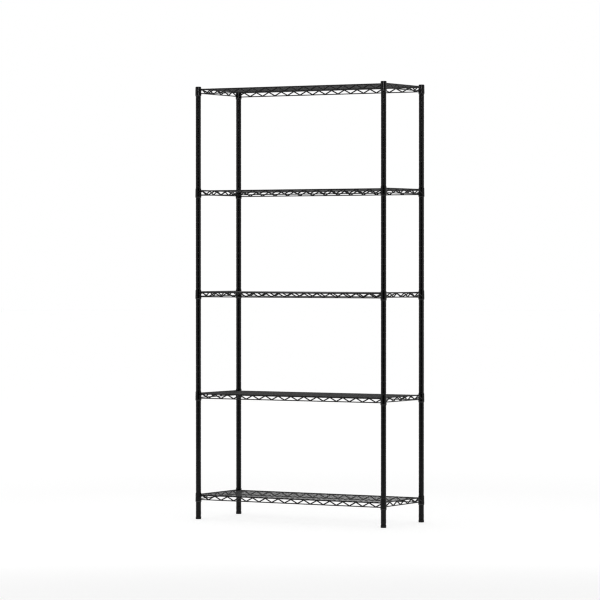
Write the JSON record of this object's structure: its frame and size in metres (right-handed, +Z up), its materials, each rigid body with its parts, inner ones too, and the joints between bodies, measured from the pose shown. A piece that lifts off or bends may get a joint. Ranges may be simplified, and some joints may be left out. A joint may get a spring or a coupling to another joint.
{
  "type": "wire shelving rack",
  "caption": "Free-standing wire shelving rack: grooved tubular posts, welded wire shelves that drop over tapered split sleeves, end caps and levelling feet.",
  "frame": {"origin": "centre of the four posts' footprint, on the floor under the feet", "axes": "+Z up, +X along the shelves' long side, -Y towards the front"},
  "size_m": [0.9266, 0.3544, 1.841],
  "materials": {
    "black_powder_coated_steel": "semi-gloss black powder coat",
    "black_plastic": "moulded, satin",
    "dark_grey_plastic": "moulded, matte",
    "zinc_plated_steel": "zinc plated"
  },
  "bodies": {
    "frame": {"post_front_left": "black_powder_coated_steel", "post_cap_front_left": "black_plastic", "foot_insert_front_left": "zinc_plated_steel", "post_front_right": "black_powder_coated_steel", "post_cap_front_right": "black_plastic", "foot_insert_front_right": "zinc_plated_steel", "post_back_left": "black_powder_coated_steel", "post_cap_back_left": "black_plastic", "foot_insert_back_left": "zinc_plated_steel", "post_back_right": "black_powder_coated_steel", "post_cap_back_right": "black_plastic", "foot_insert_back_right": "zinc_plated_steel", "shelf_1_sleeves_left": "black_plastic", "shelf_1_sleeves_right": "black_plastic", "shelf_2_sleeves_left": "black_plastic", "shelf_2_sleeves_right": "black_plastic", "shelf_3_sleeves_left": "black_plastic", "shelf_3_sleeves_right": "black_plastic", "shelf_4_sleeves_left": "black_plastic", "shelf_4_sleeves_right": "black_plastic", "shelf_5_sleeves_left": "black_plastic", "shelf_5_sleeves_right": "black_plastic"},
    "shelf_1": {"shelf_1_collars": "black_powder_coated_steel", "shelf_1_top_rims": "black_powder_coated_steel", "shelf_1_bottom_rims": "black_powder_coated_steel", "shelf_1_zigzags": "black_powder_coated_steel", "shelf_1_deck_wires": "black_powder_coated_steel"},
    "shelf_2": {"shelf_2_collars": "black_powder_coated_steel", "shelf_2_top_rims": "black_powder_coated_steel", "shelf_2_bottom_rims": "black_powder_coated_steel", "shelf_2_zigzags": "black_powder_coated_steel", "shelf_2_deck_wires": "black_powder_coated_steel"},
    "shelf_3": {"shelf_3_collars": "black_powder_coated_steel", "shelf_3_top_rims": "black_powder_coated_steel", "shelf_3_bottom_rims": "black_powder_coated_steel", "shelf_3_zigzags": "black_powder_coated_steel", "shelf_3_deck_wires": "black_powder_coated_steel"},
    "shelf_4": {"shelf_4_collars": "black_powder_coated_steel", "shelf_4_top_rims": "black_powder_coated_steel", "shelf_4_bottom_rims": "black_powder_coated_steel", "shelf_4_zigzags": "black_powder_coated_steel", "shelf_4_deck_wires": "black_powder_coated_steel"},
    "shelf_5": {"shelf_5_collars": "black_powder_coated_steel", "shelf_5_top_rims": "black_powder_coated_steel", "shelf_5_bottom_rims": "black_powder_coated_steel", "shelf_5_zigzags": "black_powder_coated_steel", "shelf_5_deck_wires": "black_powder_coated_steel"},
    "foot_front_left": {"foot_pad_front_left": "dark_grey_plastic", "foot_stem_front_left": "zinc_plated_steel"},
    "foot_front_right": {"foot_pad_front_right": "dark_grey_plastic", "foot_stem_front_right": "zinc_plated_steel"},
    "foot_back_left": {"foot_pad_back_left": "dark_grey_plastic", "foot_stem_back_left": "zinc_plated_steel"},
    "foot_back_right": {"foot_pad_back_right": "dark_grey_plastic", "foot_stem_back_right": "zinc_plated_steel"}
  },
  "joints": [
    {"name": "shelf_1_lift", "type": "slide", "parent": "frame", "child": "shelf_1", "axis": [0, 0, 1], "range_m": [0, 0.39]},
    {"name": "shelf_2_lift", "type": "slide", "parent": "frame", "child": "shelf_2", "axis": [0, 0, 1], "range_m": [0, 0.39]},
    {"name": "shelf_3_lift", "type": "slide", "parent": "frame", "child": "shelf_3", "axis": [0, 0, 1], "range_m": [0, 0.39]},
    {"name": "shelf_4_lift", "type": "slide", "parent": "frame", "child": "shelf_4", "axis": [0, 0, 1], "range_m": [0, 0.39]},
    {"name": "shelf_5_lift", "type": "slide", "parent": "frame", "child": "shelf_5", "axis": [0, 0, 1], "range_m": [0, 0.06]},
    {"name": "foot_front_left_height", "type": "slide", "parent": "frame", "child": "foot_front_left", "axis": [0, 0, -1], "range_m": [0, 0.012]},
    {"name": "foot_front_right_height", "type": "slide", "parent": "frame", "child": "foot_front_right", "axis": [0, 0, -1], "range_m": [0, 0.012]},
    {"name": "foot_back_left_height", "type": "slide", "parent": "frame", "child": "foot_back_left", "axis": [0, 0, -1], "range_m": [0, 0.012]},
    {"name": "foot_back_right_height", "type": "slide", "parent": "frame", "child": "foot_back_right", "axis": [0, 0, -1], "range_m": [0, 0.012]}
  ]
}
